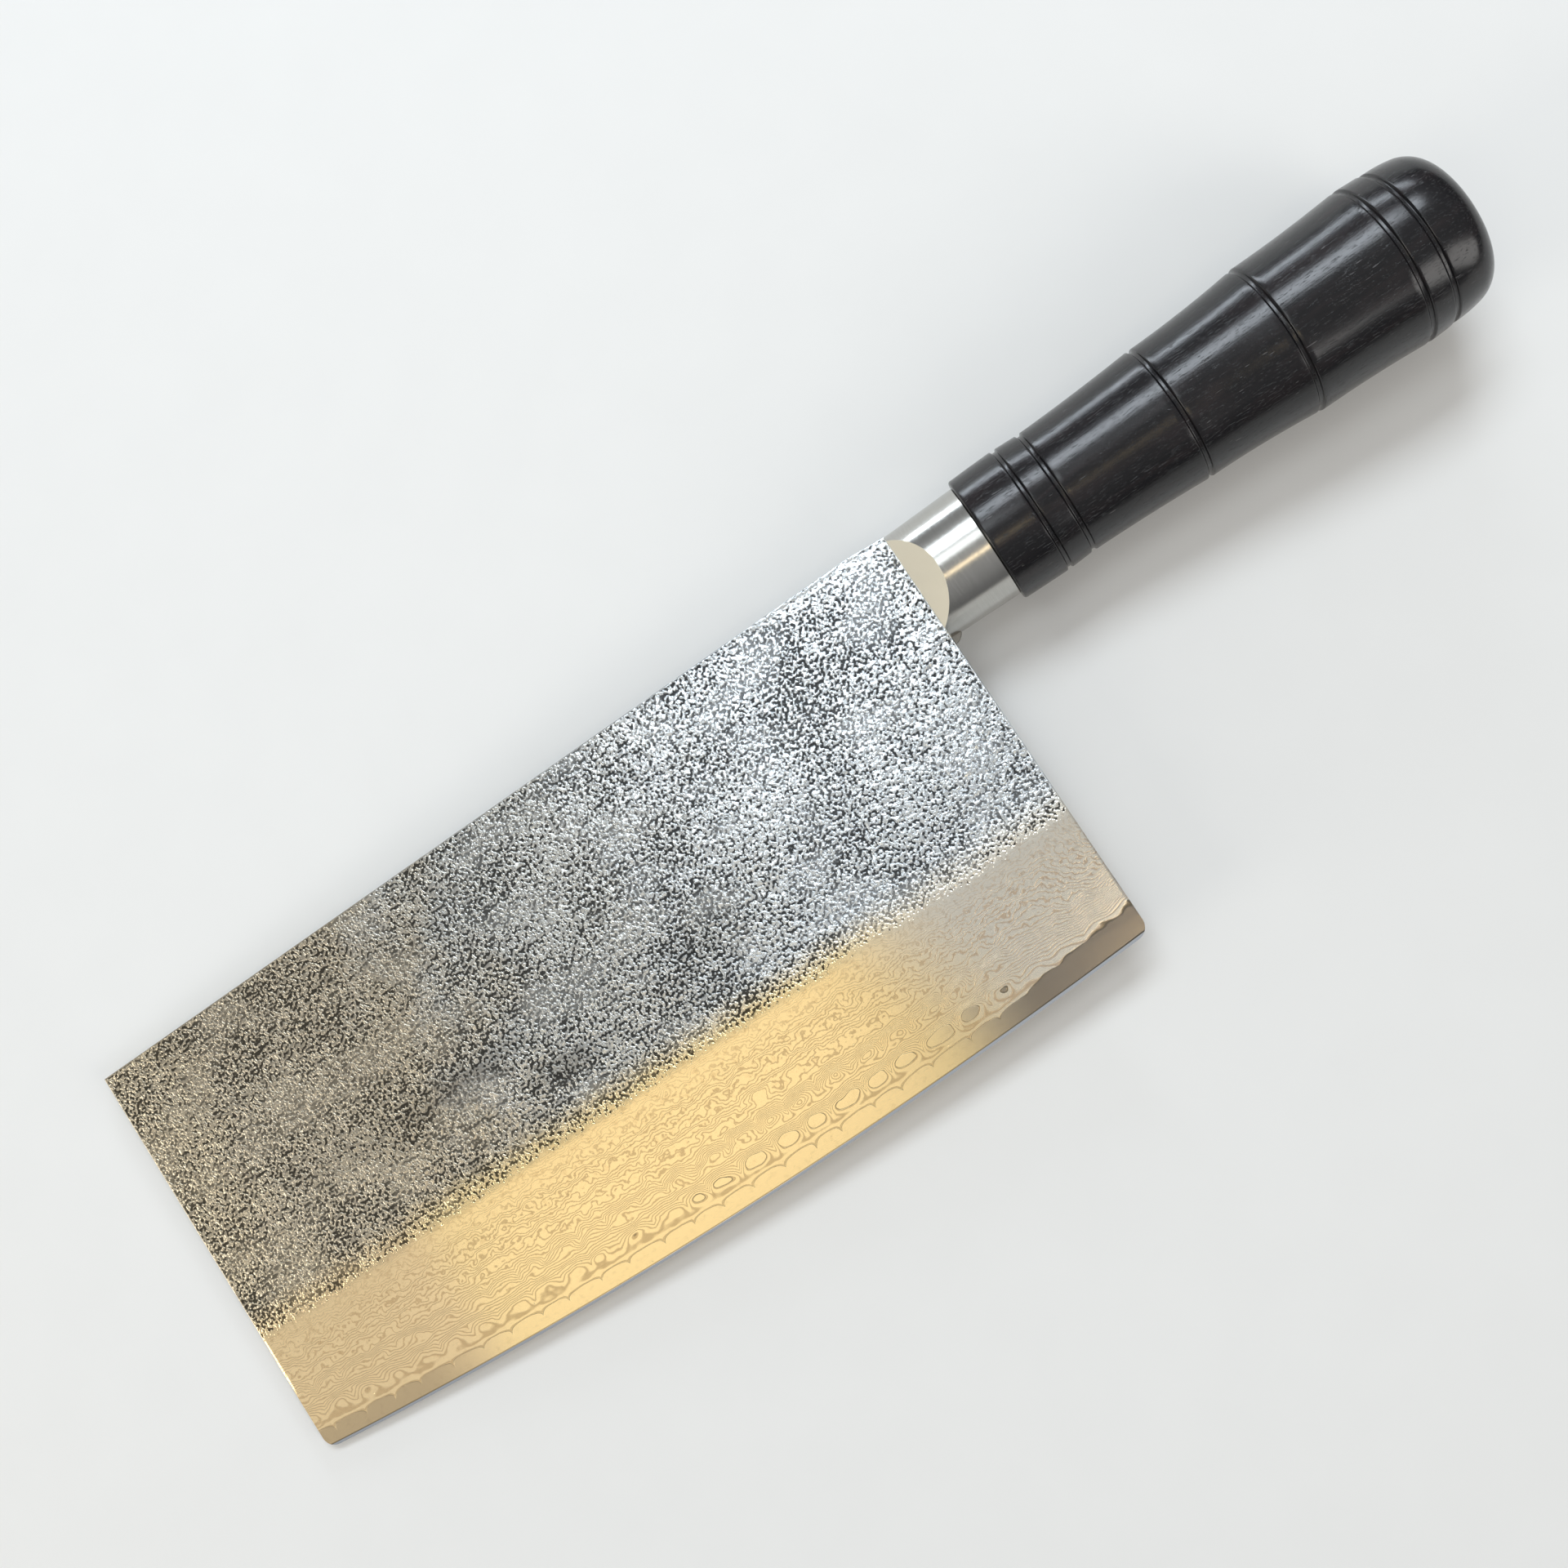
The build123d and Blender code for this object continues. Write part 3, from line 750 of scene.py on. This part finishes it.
def makeBlackwood(name):
    material, tree, shader = newMaterial(name, 0.0, IOR=1.5)
    where = useGroup(tree, knifeCoordinates)["Place"]
    figure = noise(tree, stretch(tree, where, *wood["figure"]), 1.0, 4.0, 0.6, 0.6)
    fibre = noise(tree, stretch(tree, where, *wood["fibre"]), 1.0, 3.0, 0.65)
    pores = noise(tree, stretch(tree, where, *wood["pores"]), 1.0, 2.0, 0.6)
    pores = step(tree, pores, *wood["poreMask"])
    tone = blend(tree, step(tree, figure, *wood["figureMask"]), wood["dark"], wood["brown"])
    streaks = calc(tree, "MULTIPLY", step(tree, fibre, *wood["fibreMask"]), wood["fibreShare"])
    tone = blend(tree, streaks, tone, wood["brown"])
    tone = blend(tree, pores, tone, wood["pore"])
    # short pale scratches
    scratches = noise(tree, stretch(tree, where, *wood["scratches"]), 1.0, 1.0)
    scratches = step(tree, scratches, *wood["scratchMask"])
    tone = blend(tree, calc(tree, "MULTIPLY", scratches, wood["scratchShare"]), tone, wood["scuff"])
    tree.links.new(tone, shader.inputs["Base Color"])
    rough = calc(tree, "MULTIPLY_ADD", fibre, wood["fibreChange"], wood["roughness"] - wood["fibreBelow"])
    rough = calc(tree, "MULTIPLY_ADD", scratches, wood["scratchChange"], rough)
    tree.links.new(rough, shader.inputs["Roughness"])
    relief = calc(tree, "MULTIPLY", fibre, wood["fibreRelief"])
    bump(tree, shader, calc(tree, "MULTIPLY_ADD", pores, wood["poreRelief"], relief))
    return material


# Handle, turned in one piece

handle = dict(
    length=106.0, radius=16.9, rim=0.5, bore=4.6,
    inset=0.01,                              # keeps it within the CAD model's size
    rings=(0.1003, 0.1543, 0.4015, 0.6238, 0.8437, 0.8946),      # grooves, as shares of the length
    # radius of each band at its front, middle and back, as shares of the radius
    bands=((0.822, 0.828, 0.831), (0.828, 0.822, 0.814), (0.814, 0.832, 0.870), (0.872, 0.891, 0.944),
           (0.957, 0.963, 0.997), (1.000, 0.994, 0.986), (0.975, 0.966, 0.940)),
    ringWidth=1.5, ringDepth=0.5,
    ringFlat=0.35, ringSide=0.6,             # a groove's bottom and its sides, as shares of half its width
    domeStart=5.2, domeFlat=9.4, domeRise=0.46, domeCrown=0.35, domeBulge=1.5,
    rimBulge=0.12,
    sides=256, rimRows=6, bandRows=26, ringRows=17, domeRows=22, crownRows=12,
)


def arcPoints(first, last, bulge, count):
    # points of an arc that stands bulge out of the chord from first to last
    first, last = np.array(first, float), np.array(last, float)
    chord = last - first
    size = np.hypot(*chord)
    radius = (size ** 2 / 4 + bulge ** 2) / (2 * abs(bulge))
    outward = np.array([-chord[1], chord[0]]) / size * math.copysign(1, bulge)
    centre = (first + last) / 2 - outward * (radius - abs(bulge))
    half = math.asin(size / 2 / radius)
    turns = np.linspace(-half, half, count)
    return [centre + radius * (math.cos(t) * outward + math.sin(t) * chord / size) for t in turns]


def handleProfile():
    # (distance behind the front end, radius) from the bore's mouth to the middle of the butt
    size, full, rim = handle["length"], handle["radius"] - handle["inset"], handle["rim"]
    halfRing = handle["ringWidth"] / 2
    centres = [share * size for share in handle["rings"]]
    starts = [rim] + [c + halfRing for c in centres]
    stops = [c - halfRing for c in centres] + [size - handle["domeStart"]]
    profile = [(0.0, handle["bore"])]
    first = handle["bands"][0][0] * full
    rimArc = arcPoints((0, first - rim), (rim, first), handle["rimBulge"], handle["rimRows"])
    profile += [tuple(p) for p in rimArc]
    for number, (start, stop, shares) in enumerate(zip(starts, stops, handle["bands"])):
        if number:
            profile += grooveProfile(profile[-1], (start, shares[0] * full))
        for share in np.linspace(0, 1, handle["bandRows"])[1:]:
            bend = (shares[0] * (1 - share) * (1 - 2 * share) + shares[1] * 4 * share * (1 - share)
                    + shares[2] * share * (2 * share - 1))
            profile.append((start + (stop - start) * share, bend * full))
    flatEdge = (size - handle["domeRise"], handle["domeFlat"])
    domeArc = arcPoints(profile[-1], flatEdge, handle["domeBulge"], handle["domeRows"])
    profile += [tuple(p) for p in domeArc[1:]]
    for share in np.linspace(0, 1, handle["crownRows"])[1:]:
        crown = handle["domeCrown"] * (1 - (1 - share) ** 2)
        profile.append((flatEdge[0] + crown, handle["domeFlat"] * (1 - share)))
    return profile


def grooveProfile(front, back):
    # soft lips and a flat bottom that catches the light
    points = []
    for share in np.linspace(0, 1, handle["ringRows"])[1:]:
        level = front[1] * (1 - share) + back[1] * share
        out = abs(share - 0.5) * 2
        climb = min(1, max(0, (out - handle["ringFlat"]) / handle["ringSide"]))
        dip = 1 - climb ** 2 * (3 - 2 * climb)
        points.append((front[0] + handle["ringWidth"] * share, level - handle["ringDepth"] * dip))
    return points


def makeHandle():
    profile = handleProfile()
    sides = handle["sides"]
    points, faces = [], []
    for back, radius in profile[:-1]:
        for k in range(sides):
            turn = 2 * math.pi * k / sides
            points.append((-back, radius * math.cos(turn), radius * math.sin(turn)))
    points.append((-profile[-1][0], 0, 0))
    rows = len(profile) - 1
    for i in range(rows - 1):
        for k in range(sides):
            n = (k + 1) % sides
            faces.append((i * sides + k, i * sides + n, (i + 1) * sides + n, (i + 1) * sides + k))
    last = (rows - 1) * sides
    faces += [(last + k, last + (k + 1) % sides, len(points) - 1) for k in range(sides)]
    faces.append(tuple(range(sides))[::-1])
    return newPiece("turned_handle", points, faces)


# Studio

studio = dict(
    floorSize=8.0, floorTone=linear(236, 235, 232), floorDark=0.97, floorRoughness=0.9, floorShine=0.2,
    speckleSize=1 / 60,
    zenithTone=(0.50, 0.505, 0.51, 1), horizonTone=(0.12, 0.12, 0.125, 1),
    cameraPlace=(-0.034636, 0.010884, 0.328320), cameraTurn=(0.655, 8.089, 146.426),
    cameraLens=36.083, cameraSensor=36.0, cameraNearest=0.01,
)
# area lamps: name, middle and aim in knife millimetres, size in metres, power, tone
panels = (
    ("coolWindow", (140, -205, 1000), (80, 20, 0), (0.36, 0.24), 0.8, (0.90, 0.96, 1.0)),
    ("warmCard", (464, 185, 1000), (120, 60, 0), (0.425, 0.21), 0.225, (1.0, 0.85, 0.62)),
    ("tipGlow", (850, 185, 1000), (200, 60, 0), (0.30, 0.21), 0.085, (1.0, 0.94, 0.82)),
    ("warmSide", (5, 335, 1000), (0, 0, 0), (0.12, 0.10), 0.2, (1.0, 0.80, 0.50)),
    ("tipCard", (900, 20, 350), (0, 0, 0), (0.5, 0.3), 1.8, (1.0, 0.96, 0.88)),
    ("fill", (-800, 1000, 650), (0, 0, 0), (0.9, 0.6), 5.0, (1.0, 0.98, 0.95)),
    ("handleStrip", (-260, -700, 1000), (-50, 0, 0), (0.8, 0.34), 8.0, (0.84, 0.92, 1.0)),
    ("lowStrip", (-260, -900, 200), (-50, 0, 600), (0.8, 0.10), 3.6, (0.84, 0.92, 1.0)),
)


def makeFloor():
    # it lies under the knife's lowest place, the handle's front rim
    half, low = studio["floorSize"] / 2, cadBox[0][2]
    corners = [(-half, -half, low), (half, -half, low), (half, half, low), (-half, half, low)]
    mesh = bpy.data.meshes.new("floor")
    mesh.from_pydata(corners, [], [(0, 1, 2, 3)])
    floor = bpy.data.objects.new("floor", mesh)
    bpy.context.scene.collection.objects.link(floor)
    material, tree, shader = newMaterial("paleFloor", 0.0, studio["floorRoughness"])
    shader.inputs["Specular IOR Level"].default_value = studio["floorShine"]
    where = addNode(tree, "ShaderNodeTexCoord").outputs["Object"]
    speckle = noise(tree, where, studio["speckleSize"], 3.0)
    pale = studio["floorTone"]
    tone = blend(tree, speckle, darker(pale, studio["floorDark"]), pale)
    tree.links.new(tone, shader.inputs["Base Color"])
    mesh.materials.append(material)


def makeWorld():
    world = bpy.data.worlds.new("studioWorld")
    bpy.context.scene.world = world
    world.use_nodes = True
    tree = world.node_tree
    direction = addNode(tree, "ShaderNodeTexCoord").outputs["Generated"]
    rise = addNode(tree, "ShaderNodeSeparateXYZ", {0: direction}).outputs[2]
    tone = blend(tree, calc(tree, "ABSOLUTE", rise), studio["horizonTone"], studio["zenithTone"])
    tree.links.new(tone, tree.nodes["Background"].inputs["Color"])


def addPanel(name, middle, aim, size, power, tone):
    lamp = bpy.data.lights.new(name, "AREA")
    lamp.shape = "RECTANGLE"
    lamp.size, lamp.size_y = size
    lamp.energy = power
    lamp.color = tone
    lampObject = bpy.data.objects.new(name, lamp)
    bpy.context.scene.collection.objects.link(lampObject)
    spot, target = Vector(place(middle)), Vector(place(aim))
    back = (spot - target).normalized()
    side = Vector((0, 1, 0)).cross(back).normalized()
    turn = Matrix((side, back.cross(side), back)).transposed()
    lampObject.matrix_world = Matrix.Translation(spot) @ turn.to_4x4()


def makeCamera():
    data = bpy.data.cameras.new("camera")
    data.sensor_width = studio["cameraSensor"]
    data.lens = studio["cameraLens"]
    data.clip_start = studio["cameraNearest"]
    camera = bpy.data.objects.new("camera", data)
    camera.location = studio["cameraPlace"]
    camera.rotation_euler = [math.radians(a) for a in studio["cameraTurn"]]
    bpy.context.scene.collection.objects.link(camera)
    bpy.context.scene.camera = camera


# Building

makeCamera()
makeWorld()
makeFloor()
for panel in panels:
    addPanel(*panel)
print("studio ready")

claddingSteel = makeBladeSteel("claddingSteel")
coreSteel = makeBladeSteel("coreSteel")
for name, node, side in (("left_skin", "left_cladding", 1), ("right_skin", "right_cladding", -1)):
    piece = makeCladding(name, side)
    piece.data.materials.clear()
    piece.data.materials.append(claddingSteel)
    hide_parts(node)
print("blade faces ready")

turned = makeHandle()
turned.data.materials.append(makeBlackwood("blackwood"))
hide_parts("handle")
print("handle ready")

finishes = dict(
    core_plate=coreSteel,
    bolster=makeBolsterSteel("bolsterSteel"),
    tang=makePlainSteel("tangSteel", hidden["tang"], hidden["tangRoughness"]),
    bedding_resin=makeResin("beddingResin"),
    shoulder_weld=makePlainSteel("weldMetal", hidden["weld"], hidden["weldRoughness"]),
)
for node, material in finishes.items():
    mesh = frame["nodes"][node].data
    mesh.materials.clear()
    mesh.materials.append(material)
print("materials ready")

view = bpy.context.scene.view_settings
view.view_transform = "Standard"
